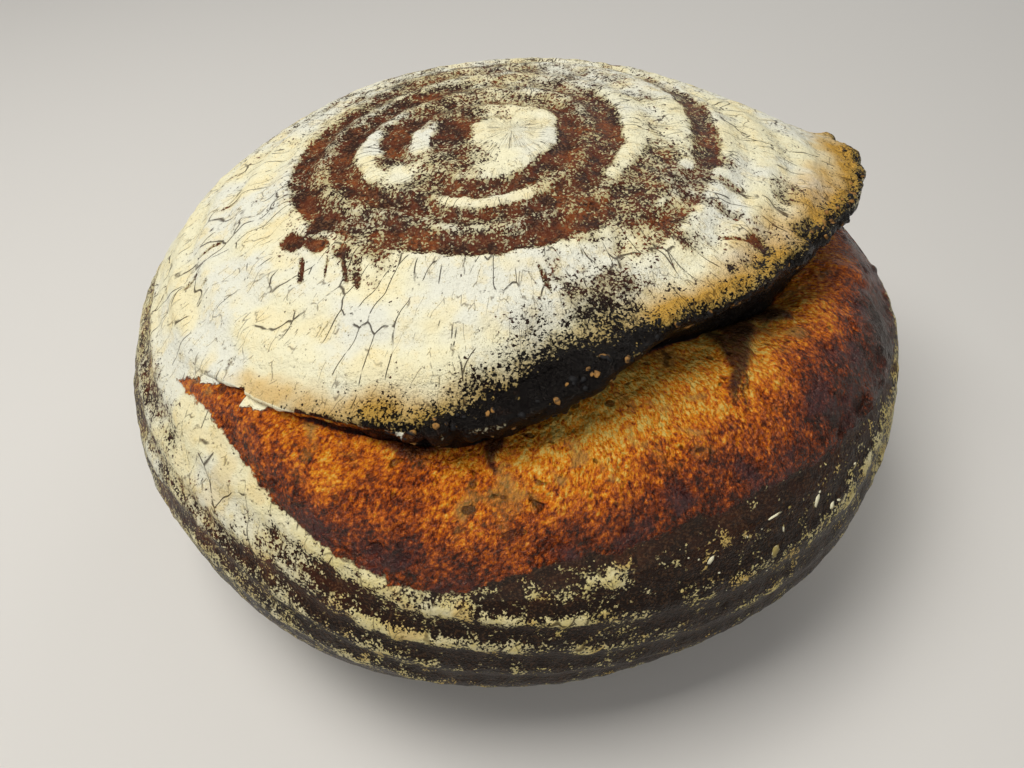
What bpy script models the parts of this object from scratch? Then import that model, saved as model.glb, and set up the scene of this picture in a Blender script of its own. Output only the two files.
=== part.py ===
"""A farmhouse loaf: one floured boule, proved in a coiled basket and slashed once round its side.

The crust is one closed skin. Every meridian leaves the crown, runs over the cap to the lip
of the slash, turns back under the lip to the crease, swells out over the bloom to the tear,
goes down the wall to the heel and in under the flat base.

Metres, +Z up, with the origin on the table under the middle of the loaf. Azimuths are
degrees about +Z: 0 is the right side, 90 the back, 180 the left and 270 the front.
"""

import bpy
import numpy as np
from mathutils import Vector, noise

# The unslashed dome
HEIGHT = 0.124  # the crown above the base
BELLY_HEIGHT = 0.048  # where the loaf is widest
LOWER_DEPTH = 0.058  # how far the lower half would reach if the base didn't cut it flat
LOWER_FULLNESS = 2.3  # exponent of the lower half's superellipse: 2 is an ellipse
CROWN_OFFSET = (0.0, 0.004)  # the middle of the rings, off the middle of the loaf
HEEL = np.arccos(-((BELLY_HEIGHT / LOWER_DEPTH) ** (LOWER_FULLNESS / 2)))

# The slash, from the left round the front to the back
SLASH_START = 211.0
SLASH_SPAN = 199.0
START_FADE = 20.0
END_FADE = 30.0
LIP_RISE = 3.0  # the cap stays low until close to the lip, then curls up
LIP_SLOPE = 0.35  # how far the torn face leans inwards, as a share of its thickness
LIP_ROUNDING = 0.25
BLOOM_SKEW = 0.85  # below 1 the bloom swells most in its upper part

# The basket's rings and the uneven surface
RING_PITCH = 0.0125  # one coil of cane
RING_DEPTH = 0.0005
RING_PHASE = 0.1
RING_SHIFT = 0.009  # the middle of the rings lies this far to the left of the crown
SHIFT_FADE = (0.060, 0.110)  # down the crust from the crown, until the rings lie level
CROWN_COILS = (1.0, 2.0)  # the middle of the basket left no rings
SWELL_SIZE, SWELL_HEIGHT = 0.055, 0.0010
LUMP_SIZE, LUMP_HEIGHT = 0.017, 0.0013
CRAG_SIZE, CRAG_HEIGHT = 0.009, 0.0016
CRAG_REACH = 0.10  # the share of the cap that is craggy along the lip
HEEL_FADE = 0.008  # the relief dies away this close to the table

# The mesh: rows down each region of a meridian, and columns round the loaf
ROWS = {"cap": 38, "face": 2, "under": 3, "bloom": 12, "wall": 27, "base": 1}
COLUMNS = 60
CLOSE_AZIMUTH = 300.0  # the columns stand closest here, at the ear
CLOSENESS = 0.45
SPREAD = {"face": (0.0, 0.12), "under": (0.12, 0.3), "bloom": (0.3, 1.0)}  # where the slash is shut


def around(*stations):
    """A smooth closed curve through (azimuth, value) stations, as a function of the angle."""
    stations = sorted(stations)
    angles = np.radians([station[0] for station in stations])
    values = np.array([station[1] for station in stations])
    gaps = np.mod(np.roll(angles, -1) - angles, 2 * np.pi)
    slopes = (np.roll(values, -1) - np.roll(values, 1)) / (gaps + np.roll(gaps, 1))

    def at(theta):
        turned = np.mod(theta - angles[0], 2 * np.pi)
        here = np.searchsorted(angles - angles[0], turned, side="right") - 1
        after = (here + 1) % len(angles)
        gap = gaps[here]
        t = (turned - (angles[here] - angles[0])) / gap
        rise = 3 * t**2 - 2 * t**3
        lead_in = (t**3 - 2 * t**2 + t) * gap * slopes[here]
        lead_out = (t**3 - t**2) * gap * slopes[after]
        return values[here] + rise * (values[after] - values[here]) + lead_in + lead_out

    return at


def smooth(low, high, x):
    """0 below low, 1 above high, and an even rise between."""
    t = np.clip((x - low) / (high - low), 0, 1)
    return t * t * (3 - 2 * t)


belly_radius = around(
    (0, 0.120), (45, 0.119), (90, 0.119), (125, 0.1175), (150, 0.115), (180, 0.117),
    (215, 0.116), (250, 0.1165), (270, 0.1145), (290, 0.113), (315, 0.116), (335, 0.118),
)
upper_fullness = around((0, 2.2), (45, 2.38), (90, 2.2), (150, 2.1), (220, 2.15), (300, 2.15))

# Heights on the dome where the knife went in, and where the crust tore below it
cut_height = around(
    (0, 0.096), (15, 0.093), (30, 0.091), (60, 0.092), (150, 0.092), (210, 0.092),
    (225, 0.0955), (245, 0.0975), (260, 0.098), (271, 0.101), (285, 0.106), (300, 0.1085),
    (315, 0.1075), (330, 0.104), (345, 0.0995),
)
tear_height = around(
    (0, 0.074), (30, 0.076), (60, 0.078), (150, 0.080), (205, 0.084), (218, 0.088), (228, 0.088),
    (236, 0.084), (248, 0.077), (260, 0.071), (270, 0.071), (285, 0.073), (300, 0.075),
    (330, 0.075),
)

# The ear: how far the lip is pushed out, lifted and how thick it is
lip_out = around(
    (0, 0.0008), (13, 0.0075), (20, 0.009), (30, 0.006), (45, 0.0025), (70, 0), (180, 0), (230, 0),
    (245, -0.0018), (260, -0.0026), (268, -0.001), (276, 0.0008), (285, 0.0035), (300, 0.0015),
    (315, 0), (323, -0.003), (331, -0.0055), (341, -0.0058), (350, -0.0045),
)
lip_up = around(
    (0, 0.0105), (13, 0.0095), (30, 0.006), (45, 0.0025), (70, 0), (180, 0), (230, 0.0005),
    (245, 0.0015), (260, 0.003), (271, 0.0035), (285, 0.0035), (300, 0.004), (315, 0.005),
    (330, 0.0065), (345, 0.0095),
)
lip_thickness = around(
    (0, 0.0045), (30, 0.004), (60, 0.003), (90, 0.002), (180, 0.001), (225, 0.001),
    (245, 0.002), (260, 0.003), (270, 0.0035), (300, 0.0038), (330, 0.0048), (345, 0.0048),
)

# The crease under the ear, and how far the bloom swells out of it
undercut = around(
    (0, 0.016), (30, 0.012), (60, 0.004), (90, 0), (180, 0), (225, 0.001), (245, 0.003),
    (260, 0.007), (270, 0.008), (300, 0.009), (330, 0.012),
)
crease_drop = around(
    (0, 0.016), (30, 0.014), (60, 0.005), (90, 0), (180, 0), (225, 0.001), (245, 0.003),
    (260, 0.007), (270, 0.009), (300, 0.013), (330, 0.016),
)
bloom_swell = around(
    (0, 0.009), (30, 0.008), (60, 0.004), (90, 0.001), (180, 0.001), (225, 0.001),
    (245, 0.005), (260, 0.007), (270, 0.008), (300, 0.009), (330, 0.010),
)


def dome(theta, down):
    """Radius and height of the unslashed loaf, an angle down from the crown."""
    upper = np.cos(down) >= 0
    fullness = np.where(upper, upper_fullness(theta), LOWER_FULLNESS)
    depth = np.where(upper, HEIGHT - BELLY_HEIGHT, -LOWER_DEPTH)
    radius = belly_radius(theta) * np.sin(down) ** (2 / fullness)
    return np.array([radius, BELLY_HEIGHT + depth * np.abs(np.cos(down)) ** (2 / fullness)])


def angle_at(height, theta):
    """The angle down from the crown at which the dome has this height, above the belly."""
    return np.arccos(((height - BELLY_HEIGHT) / (HEIGHT - BELLY_HEIGHT)) ** (upper_fullness(theta) / 2))


def opened(theta):
    """How far the slash gapes: 0 on whole crust, 1 along most of the slash."""
    along = np.mod(np.degrees(theta) - SLASH_START, 360)
    return smooth(0, START_FADE, along) * (1 - smooth(SLASH_SPAN - END_FADE, SLASH_SPAN, along))


def angle_down(theta, region, share):
    """The dome's angle for a point that lies a share of the way down one region."""
    cut = angle_at(cut_height(theta), theta)
    tear = angle_at(tear_height(theta), theta)
    if region == "cap":
        return share * cut
    if region == "wall":
        return tear + share * (HEEL - tear)
    if region == "base":
        return HEEL + 0 * theta
    first, last = SPREAD[region]
    return cut + (first + (last - first) * share) * (tear - cut)


def gaping(theta, region, share):
    """Radius and height in the slash where it gapes fully."""
    knife = dome(theta, angle_at(cut_height(theta), theta))
    edge = knife + [lip_out(theta), lip_up(theta)]
    thickness = lip_thickness(theta)
    brink = edge - [LIP_SLOPE * thickness, thickness]
    crease = knife - [undercut(theta), crease_drop(theta)]
    if region == "face":
        rounding = LIP_ROUNDING * thickness * np.sin(np.pi * share)
        return edge + share * (brink - edge) + [rounding, 0 * rounding]
    if region == "under":
        return brink + share * (crease - brink)
    run = dome(theta, angle_at(tear_height(theta), theta)) - crease
    outward = np.array([-run[1], run[0]]) / np.hypot(*run)
    return crease + share * run + outward * bloom_swell(theta) * np.sin(np.pi * share**BLOOM_SKEW)


def crust(theta, region, share):
    """The skin's x, y and z at azimuth theta, a share of the way down one region."""
    shut = dome(theta, angle_down(theta, region, share))
    shift = 0 * theta
    if region == "cap":
        lift = [lip_out(theta), lip_up(theta)]
        radius, height = shut + opened(theta) * share**LIP_RISE * np.array(lift)
        lip_cosine = np.cos(angle_down(theta, region, 1))
        shift = (np.cos(angle_down(theta, region, share)) - lip_cosine) / (1 - lip_cosine)
    elif region == "wall":
        radius, height = shut
    elif region == "base":
        radius, height = shut * [[1 - share], [0]]
    else:
        radius, height = shut + opened(theta) * (gaping(theta, region, share) - shut)
    x = radius * np.cos(theta) + shift * CROWN_OFFSET[0]
    y = radius * np.sin(theta) + shift * CROWN_OFFSET[1]
    return np.stack([x, y, np.maximum(height, 0)], axis=-1)


def coils_down(theta, down):
    """How many coils of the basket lie between the middle of the rings and a point of the dome."""
    angles = np.linspace(0, HEEL, 400)
    radius, height = dome(0 * angles, angles)
    lengths = np.cumsum(np.hypot(np.diff(radius, prepend=0), np.diff(height, prepend=HEIGHT)))
    length = np.interp(down, angles, lengths)
    shift = RING_SHIFT * (1 - smooth(*SHIFT_FADE, length))
    return np.hypot(length * np.cos(theta) + shift, length * np.sin(theta)) / RING_PITCH


def lumps(points, size, seed):
    """Smooth noise between about -1 and 1, its bumps about size across."""
    away = Vector((seed, -seed, 2 * seed))
    return np.array([noise.noise(Vector(point) / size + away) for point in points])


def relief(points, theta, region, share):
    """How far the uneven surface stands off the smooth form, in one row of the skin."""
    gape = opened(theta)
    coils = coils_down(theta, angle_down(theta, region, share))
    rings = -RING_DEPTH * np.cos(2 * np.pi * (coils - RING_PHASE)) * smooth(*CROWN_COILS, coils)
    swells = SWELL_HEIGHT * lumps(points, SWELL_SIZE, seed=1.7)
    crags = CRAG_HEIGHT * lumps(points, CRAG_SIZE, seed=4.3)
    if region == "cap":
        return rings + swells + gape * smooth(1 - CRAG_REACH, 1, share) * crags
    if region == "wall":
        return (rings + swells) * smooth(0, HEEL_FADE, points[:, 2])
    if region == "base":
        return 0 * theta
    torn = LUMP_HEIGHT * lumps(points, LUMP_SIZE, seed=8.1) if region == "bloom" else crags
    return swells + (1 - gape) * rings + gape * torn


def loaf_mesh():
    """A sphere whose rows are laid along the meridians, region by region."""
    steps = [(region, (i + 1) / n) for region, n in ROWS.items() for i in range(n)]
    bpy.ops.mesh.primitive_uv_sphere_add(segments=COLUMNS, ring_count=len(steps))
    mesh = bpy.context.object.data
    points = np.empty((len(mesh.vertices), 3), dtype=np.float32)
    mesh.vertices.foreach_get("co", points.ravel())
    rows = np.rint(np.arccos(np.clip(points[:, 2], -1, 1)) / np.pi * len(steps)).astype(int)
    turns = np.arctan2(points[:, 1], points[:, 0])
    turns -= CLOSENESS * np.sin(turns - np.radians(CLOSE_AZIMUTH))

    points[rows == 0] = crust(np.zeros(1), "cap", 0)
    for row, (region, share) in enumerate(steps, start=1):
        points[rows == row] = crust(turns[rows == row], region, share)
    mesh.vertices.foreach_set("co", points.ravel())
    mesh.update()

    normals = np.empty_like(points)
    mesh.vertex_normals.foreach_get("vector", normals.ravel())
    for row, (region, share) in enumerate(steps, start=1):
        here = rows == row
        off = relief(points[here], turns[here], region, share)
        points[here] += normals[here] * off[:, None]
    mesh.vertices.foreach_set("co", points.ravel())
    mesh.update()
    mesh.shade_smooth()
    paint(mesh, rows, turns, steps)
    return bpy.context.object


def material(name, colour, roughness):
    """A plain finish: linear colour and roughness, no metal."""
    finish = bpy.data.materials.new(name)
    finish.use_nodes = True
    shader = finish.node_tree.nodes["Principled BSDF"]
    shader.inputs["Base Color"].default_value = (*colour, 1)
    shader.inputs["Roughness"].default_value = roughness
    shader.inputs["Metallic"].default_value = 0.0
    return finish


def paint(mesh, rows, turns, steps):
    """Floured crust everywhere but in the open slash, which is bare browned bread."""
    mesh.materials.append(material("floured_crust", (0.72, 0.60, 0.40), 0.9))
    mesh.materials.append(material("torn_crust", (0.36, 0.13, 0.03), 0.6))
    slashed = [i for i, (region, _) in enumerate(steps, start=1) if region in SPREAD]
    bare = np.isin(rows, slashed) & (opened(turns) > 0)
    for polygon in mesh.polygons:
        polygon.material_index = int(all(bare[i] for i in polygon.vertices))


for old in list(bpy.data.objects):
    bpy.data.objects.remove(old, do_unlink=True)

loaf = loaf_mesh()
loaf.name = "farmhouse_loaf"
loaf.data.name = "farmhouse_loaf"
bread = bpy.data.collections.new("farmhouse_bread_loaf")
bpy.context.scene.collection.children.link(bread)
for home in list(loaf.users_collection):
    home.objects.unlink(loaf)
bread.objects.link(loaf)
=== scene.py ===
# %% [markdown]
# # The crust of a farmhouse loaf
#
# A round loaf has proved upside down in a basket of coiled cane dusted with flour. It was turned
# out, slashed once round one side and baked hot. Its cap is dry flour over brown crust, with bare
# rings where the cane pressed. The slash has opened: its lip stands up as a charred ear, and under
# it the loaf has bloomed, bare and browned. Below that, the wall shows flour and rings again.
#
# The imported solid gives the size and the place. This lesson makes the same form again as one much
# finer skin, gives it the small relief of a real crust, and paints it with procedural finishes.

# %% Load the frame
import math

import bmesh
import bpy
import numpy as np
from mathutils import Matrix, Vector, noise


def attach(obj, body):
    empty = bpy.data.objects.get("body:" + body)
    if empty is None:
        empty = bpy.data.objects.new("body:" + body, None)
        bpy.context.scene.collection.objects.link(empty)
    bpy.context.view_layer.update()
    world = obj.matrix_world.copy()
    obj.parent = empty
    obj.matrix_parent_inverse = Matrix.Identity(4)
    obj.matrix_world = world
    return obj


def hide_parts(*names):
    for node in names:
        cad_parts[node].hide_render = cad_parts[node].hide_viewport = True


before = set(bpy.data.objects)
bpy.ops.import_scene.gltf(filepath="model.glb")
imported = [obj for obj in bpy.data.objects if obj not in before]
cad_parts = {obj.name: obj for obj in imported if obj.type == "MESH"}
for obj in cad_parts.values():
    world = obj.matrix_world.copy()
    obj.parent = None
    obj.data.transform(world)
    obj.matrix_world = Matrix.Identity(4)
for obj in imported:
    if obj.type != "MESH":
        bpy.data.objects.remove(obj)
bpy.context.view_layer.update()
NODE = "farmhouse_loaf"

# %% [markdown]
# ## The form in a few numbers
#
# The unslashed loaf is a dome: a superellipse above the belly and another one below it. Lengths
# are metres. Azimuths are degrees about +Z: 0 is the right side, 90 the back, 180 the left and
# 270 the front. Whatever changes round the loaf is a smooth closed curve through a few stations,
# because a hand-shaped loaf has no formula, but it has no corners either.

# %% Sizes of the dome and helpers for curves
HEIGHT = 0.124
BELLY_HEIGHT = 0.048
LOWER_DEPTH = 0.058
LOWER_FULLNESS = 2.3
CROWN_OFFSET = (0.0, 0.004)
HEEL = np.arccos(-((BELLY_HEIGHT / LOWER_DEPTH) ** (LOWER_FULLNESS / 2)))
MM = 0.001


def around(stations):
    """A smooth closed curve through {azimuth: value} stations, as a function of the angle."""
    angles = np.radians(sorted(stations))
    values = np.array([stations[azimuth] for azimuth in sorted(stations)])
    gaps = np.mod(np.roll(angles, -1) - angles, 2 * np.pi)
    slopes = (np.roll(values, -1) - np.roll(values, 1)) / (gaps + np.roll(gaps, 1))

    def at(theta):
        turned = np.mod(theta - angles[0], 2 * np.pi)
        here = np.searchsorted(angles - angles[0], turned, side="right") - 1
        after = (here + 1) % len(angles)
        gap = gaps[here]
        t = (turned - (angles[here] - angles[0])) / gap
        rise = 3 * t**2 - 2 * t**3
        lead_in = (t**3 - 2 * t**2 + t) * gap * slopes[here]
        lead_out = (t**3 - t**2) * gap * slopes[after]
        return values[here] + rise * (values[after] - values[here]) + lead_in + lead_out

    return at


def smooth(low, high, x):
    """0 below low, 1 above high, and an even rise between."""
    t = np.clip((x - low) / (high - low), 0, 1)
    return t * t * (3 - 2 * t)


belly_radius = around({
    0: 0.12, 45: 0.119, 90: 0.119, 125: 0.1175, 150: 0.115, 180: 0.117, 215: 0.116, 250: 0.1165,
    270: 0.1145, 290: 0.113, 315: 0.116, 335: 0.118,
})
upper_fullness = around({0: 2.2, 45: 2.38, 90: 2.2, 150: 2.1, 220: 2.15, 300: 2.15})
print("the heel of the wall is", round(float(np.degrees(HEEL))), "degrees down from the crown")

# %% [markdown]
# ## The slash
#
# The knife went in along one height and the crust tore away along a lower one. Between them the
# lip curls up and out, the crease sits under it, and the bloom swells out of the crease. Each of
# these is one more curve round the loaf, the same ones that the solid was built from.

# %% Curves of the slash
SLASH_START = 211.0
SLASH_SPAN = 199.0
START_FADE = 20.0
END_FADE = 30.0
LIP_RISE = 3.0
LIP_SLOPE = 0.35
LIP_ROUNDING = 0.25
BLOOM_SKEW = 0.85
# Where the slash is shut, its regions take these shares of the way from the cut to the tear.
SPREAD = {"face": (0.0, 0.12), "under": (0.12, 0.3), "bloom": (0.3, 1.0)}

cut_height = around({
    0: 0.096, 15: 0.093, 30: 0.091, 60: 0.092, 150: 0.092, 210: 0.092, 225: 0.0955, 245: 0.0975,
    260: 0.098, 271: 0.101, 285: 0.106, 300: 0.1085, 315: 0.1075, 330: 0.104, 345: 0.0995,
})
tear_height = around({
    0: 0.074, 30: 0.076, 60: 0.078, 150: 0.08, 205: 0.084, 218: 0.088, 228: 0.088, 236: 0.084,
    248: 0.077, 260: 0.071, 270: 0.071, 285: 0.073, 300: 0.075, 330: 0.075,
})
lip_out = around({
    0: 0.0008, 13: 0.0075, 20: 0.009, 30: 0.006, 45: 0.0025, 70: 0, 180: 0, 230: 0, 245: -0.0018,
    260: -0.0026, 268: -0.001, 276: 0.0008, 285: 0.0035, 300: 0.0015, 315: 0, 323: -0.003, 331: -0.0055,
    341: -0.0058, 350: -0.0045,
})
lip_up = around({
    0: 0.0105, 13: 0.0095, 30: 0.006, 45: 0.0025, 70: 0, 180: 0, 230: 0.0005, 245: 0.0015, 260: 0.003,
    271: 0.0035, 285: 0.0035, 300: 0.004, 315: 0.005, 330: 0.0065, 345: 0.0095,
})
lip_thickness = around({
    0: 0.0045, 30: 0.004, 60: 0.003, 90: 0.002, 180: 0.001, 225: 0.001, 245: 0.002, 260: 0.003,
    270: 0.0035, 300: 0.0038, 330: 0.0048, 345: 0.0048,
})
undercut = around({
    0: 0.016, 30: 0.012, 60: 0.004, 90: 0, 180: 0, 225: 0.001, 245: 0.003, 260: 0.007, 270: 0.008,
    300: 0.009, 330: 0.012,
})
crease_drop = around({
    0: 0.016, 30: 0.014, 60: 0.005, 90: 0, 180: 0, 225: 0.001, 245: 0.003, 260: 0.007, 270: 0.009,
    300: 0.013, 330: 0.016,
})
bloom_swell = around({
    0: 0.009, 30: 0.008, 60: 0.004, 90: 0.001, 180: 0.001, 225: 0.001, 245: 0.005, 260: 0.007,
    270: 0.008, 300: 0.009, 330: 0.01,
})
print("the slash runs round", SLASH_SPAN, "degrees of the loaf")

# %% [markdown]
# ## One skin
#
# Every meridian leaves the crown, runs over the cap to the lip, turns back under the lip to the
# crease, swells over the bloom to the tear and goes down the wall to the heel and under the base.
# It could be sculpted, but then nothing would tie it to the solid. Here a function gives the point
# for an azimuth, a region and a share of the way down that region.


# %% The skin as a function
def dome(theta, down):
    """Radius and height of the unslashed loaf, an angle down from the crown."""
    upper = np.cos(down) >= 0
    fullness = np.where(upper, upper_fullness(theta), LOWER_FULLNESS)
    depth = np.where(upper, HEIGHT - BELLY_HEIGHT, -LOWER_DEPTH)
    radius = belly_radius(theta) * np.sin(down) ** (2 / fullness)
    return np.array([radius, BELLY_HEIGHT + depth * np.abs(np.cos(down)) ** (2 / fullness)])


def angle_at(height, theta):
    """The angle down from the crown at which the dome has this height, above the belly."""
    return np.arccos(((height - BELLY_HEIGHT) / (HEIGHT - BELLY_HEIGHT)) ** (upper_fullness(theta) / 2))


def opened(theta):
    """How far the slash gapes: 0 on whole crust, 1 along most of the slash."""
    along = np.mod(np.degrees(theta) - SLASH_START, 360)
    return smooth(0, START_FADE, along) * (1 - smooth(SLASH_SPAN - END_FADE, SLASH_SPAN, along))


def angle_down(theta, region, share):
    """The dome's angle for a point that lies a share of the way down one region."""
    cut = angle_at(cut_height(theta), theta)
    tear = angle_at(tear_height(theta), theta)
    if region == "cap":
        return share * cut
    if region == "wall":
        return tear + share * (HEEL - tear)
    if region == "base":
        return HEEL + 0 * theta
    first, last = SPREAD[region]
    return cut + (first + (last - first) * share) * (tear - cut)


def gaping(theta, region, share):
    """Radius and height in the slash where it gapes fully."""
    knife = dome(theta, angle_at(cut_height(theta), theta))
    edge = knife + [lip_out(theta), lip_up(theta)]
    thickness = lip_thickness(theta)
    brink = edge - [LIP_SLOPE * thickness, thickness]
    crease = knife - [undercut(theta), crease_drop(theta)]
    if region == "face":
        rounding = LIP_ROUNDING * thickness * np.sin(np.pi * share)
        return edge + share * (brink - edge) + [rounding, 0 * rounding]
    if region == "under":
        return brink + share * (crease - brink)
    run = dome(theta, angle_at(tear_height(theta), theta)) - crease
    outward = np.array([-run[1], run[0]]) / np.hypot(*run)
    return crease + share * run + outward * bloom_swell(theta) * np.sin(np.pi * share**BLOOM_SKEW)


def crust(theta, region, share):
    """The skin's x, y and z at azimuth theta, a share of the way down one region."""
    shut = dome(theta, angle_down(theta, region, share))
    shift = 0 * theta
    if region == "cap":
        lift = [lip_out(theta), lip_up(theta)]
        radius, height = shut + opened(theta) * share**LIP_RISE * np.array(lift)
        lip_cosine = np.cos(angle_down(theta, region, 1))
        shift = (np.cos(angle_down(theta, region, share)) - lip_cosine) / (1 - lip_cosine)
    elif region == "wall":
        radius, height = shut
    elif region == "base":
        radius, height = shut * [[1 - share], [0]]
    else:
        radius, height = shut + opened(theta) * (gaping(theta, region, share) - shut)
    x = radius * np.cos(theta) + shift * CROWN_OFFSET[0]
    y = radius * np.sin(theta) + shift * CROWN_OFFSET[1]
    return np.stack([x, y, np.maximum(height, 0)], axis=-1)


# %% [markdown]
# ## Rows and columns
#
# The skin starts as a bmesh sphere, whose poles and seam are already closed. A coarse sphere that
# is subdivided takes a moment, where a fine one would take a minute. Its rings become the rows of
# the regions and its segments the columns round the loaf. The columns stand closer at the ear, and
# the rows closer towards the lip, because that is where the crust is most torn. The operator gives
# no fixed order, so points and faces are sorted by where they lie: each run writes the same mesh.

# %% The sphere and its rows
ROWS = {"cap": 110, "face": 8, "under": 12, "bloom": 60, "wall": 62, "base": 12}
COLUMNS = 640
FINER = 4  # each edge of the coarse sphere becomes so many; the rows add up to a multiple of it
CLOSE_AZIMUTH = 300.0
CLOSENESS = 0.40
LIP_CROWDING = 0.35


def order_on_ball(point):
    """A number that grows down the rows and round the columns, in steps of an eighth."""
    x, y, z = point
    way = round(8 * len(steps) * math.atan2(math.hypot(x, y), z) / math.pi)
    return way * 8 * COLUMNS + round(8 * COLUMNS * math.atan2(y, x) / (2 * math.pi)) % (8 * COLUMNS)


def to_mesh(name, shape):
    """A bmesh as a new mesh."""
    mesh = bpy.data.meshes.new(name)
    shape.to_mesh(mesh)
    shape.free()
    return mesh


steps = []
for region, count in ROWS.items():
    for i in range(1, count + 1):
        share = i / count
        if region == "cap":
            share *= 1 + LIP_CROWDING * (1 - share)
        steps.append((region, share))
REGION_OF_ROW = np.array(["cap"] + [region for region, _ in steps])
SHARE_OF_ROW = np.array([0.0] + [share for _, share in steps])

ball = bmesh.new()
bmesh.ops.create_uvsphere(ball, u_segments=COLUMNS // FINER, v_segments=len(steps) // FINER, radius=1)
bmesh.ops.subdivide_edges(ball, edges=ball.edges[:], cuts=FINER - 1, use_grid_fill=True)
ball.verts.sort(key=lambda vertex: order_on_ball(vertex.co))
ball.faces.sort(key=lambda face: order_on_ball(face.calc_center_median()))
skin = to_mesh("crust", ball)

on_ball = np.empty((len(skin.vertices), 3), dtype=np.float32)
skin.vertices.foreach_get("co", on_ball.ravel())
row = np.rint(np.arctan2(np.hypot(*on_ball[:, :2].T), on_ball[:, 2]) / np.pi * len(steps)).astype(int)
column = np.rint(np.arctan2(on_ball[:, 1], on_ball[:, 0]) / (2 * np.pi) * COLUMNS).astype(int) % COLUMNS

turns = 2 * np.pi * np.arange(COLUMNS) / COLUMNS
turns = turns - CLOSENESS * np.sin(turns - np.radians(CLOSE_AZIMUTH))
print("the skin has", len(skin.vertices), "points in", len(steps), "rows")

# %% [markdown]
# ## A grid over the skin
#
# All measures of the crust are kept as grids with one line for each row and one place for each
# column, so that numpy can work on the whole loaf at once. `down` is the way from the crown along
# the unslashed dome in millimetres. `run` is the way along the real skin, in and out of the slash.

# %% Points and distances on the grid
points = np.empty((len(steps) + 1, COLUMNS, 3))
points[0] = crust(np.zeros(COLUMNS), "cap", 0)
down = np.zeros((len(steps) + 1, COLUMNS))
profile = np.linspace(0, HEEL, 400)
profile_radius, profile_height = dome(0 * profile, profile)
lengths = np.cumsum(np.hypot(np.diff(profile_radius, prepend=0), np.diff(profile_height, prepend=HEIGHT)))
for i, (region, share) in enumerate(steps, start=1):
    points[i] = crust(turns, region, share)
    down[i] = np.interp(angle_down(turns, region, share), profile, lengths) / MM

theta = np.broadcast_to(turns, down.shape)
degrees = np.mod(np.degrees(theta), 360)
gape = opened(theta)
run = np.cumsum(np.linalg.norm(np.diff(points, axis=0, prepend=points[:1]), axis=-1), axis=0) / MM
region_of = np.broadcast_to(REGION_OF_ROW[:, None], down.shape)
share_of = np.broadcast_to(SHARE_OF_ROW[:, None], down.shape)
last_row = {region: int(np.flatnonzero(REGION_OF_ROW == region)[-1]) for region in ROWS}
lip_down = down[last_row["cap"]]
tear_down = down[last_row["bloom"]]
print("the cap runs", round(float(lip_down.min())), "to", round(float(lip_down.max())), "mm down")


def grid(stations):
    """A curve round the loaf, read at every point of the grid."""
    return around(stations)(theta)


def lumps(size, seed):
    """Smooth noise between about -1 and 1 at every point of the grid, its bumps about size across."""
    scaled = points.reshape(-1, 3) / size + (seed, -seed, 2 * seed)
    return np.array([noise.noise(point) for point in scaled.tolist()]).reshape(down.shape)


# %% [markdown]
# ## Where the crust is torn
#
# A signed distance tells torn crust from floured crust: millimetres inside the slash are positive,
# millimetres outside it negative. A plain yes or no at each point would give stairs at the edge.
# The distance lets the finish cut a crisp, ragged edge anywhere between the points. The flour
# folds over the lip by a few millimetres. At the left it tore off in a step: a tongue of flour
# hangs over the bloom where the knife's line was crossed.

# %% Signed distance to the torn edge
LEFT_TIP = 214.0
BREAK_AZIMUTH = 227.6
BREAK_STEP = 7.0
BREAK_FADE = 11.0
TIP_HANGING = 0.45  # millimetres of flour over the lip for each degree left of the break
END_SHORT = 6  # degrees by which the torn crust ends before the slash does
TIP_SLOPE = 0.9  # millimetres of distance for each degree past a tip of the slash

past_start = np.mod(degrees - LEFT_TIP, 360)
past_end = SLASH_START + SLASH_SPAN - END_SHORT - LEFT_TIP
outside_tips = np.where(past_start <= past_end, 0, np.minimum(past_start - past_end, 360 - past_start))
past_break = np.mod(degrees - BREAK_AZIMUTH, 360)
hanging = BREAK_STEP * (1 - smooth(0, BREAK_FADE, past_break))
hanging = np.maximum(hanging, np.clip(TIP_HANGING * (360 - past_break), 0, 7) * (past_break > 335))
folded_over = grid({
    0: 2, 22: 3, 45: 1.5, 90: 0, 250: 0, 290: 0, 302: 0.3, 315: 0.8, 330: 0.2, 345: 0.6,
})
folded = folded_over + hanging
kept_below = grid({
    0: 0, 90: 0, 180: 0, 240: 0, 250: 1.5, 264: 2.5, 272: 7, 285: 7, 300: 6, 320: 4, 335: 1,
})
from_lip = run - run[last_row["cap"]] - folded
to_tear = run[last_row["bloom"]] - run - kept_below
in_cap, in_wall, in_bloom = (region_of == name for name in ("cap", "wall", "bloom"))
in_lip = np.isin(region_of, ["face", "under"])
torn = np.select(
    [in_cap, in_wall, in_lip | in_bloom],
    [down - lip_down - folded, tear_down - down - kept_below, np.minimum(from_lip, to_tear)],
    tear_down - down,
)
torn = torn - TIP_SLOPE * outside_tips
inside_slash = smooth(-1.5, 1.5, torn)
print("torn points:", int((torn > 0).sum()))

# %% [markdown]
# ## The basket's rings in the flour
#
# Cane presses the flour off along its coils, and the hollows between hold it. Seen from the
# crown, each ring is a closed line round the cap, a bit closer at the front than at the left.
# A list of such lines gives every point a ring number: whole on a ring, halfway between in a
# hollow. How bare each ring is, and how full each hollow, again changes round the loaf. The
# first line is the crown itself.

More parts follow.
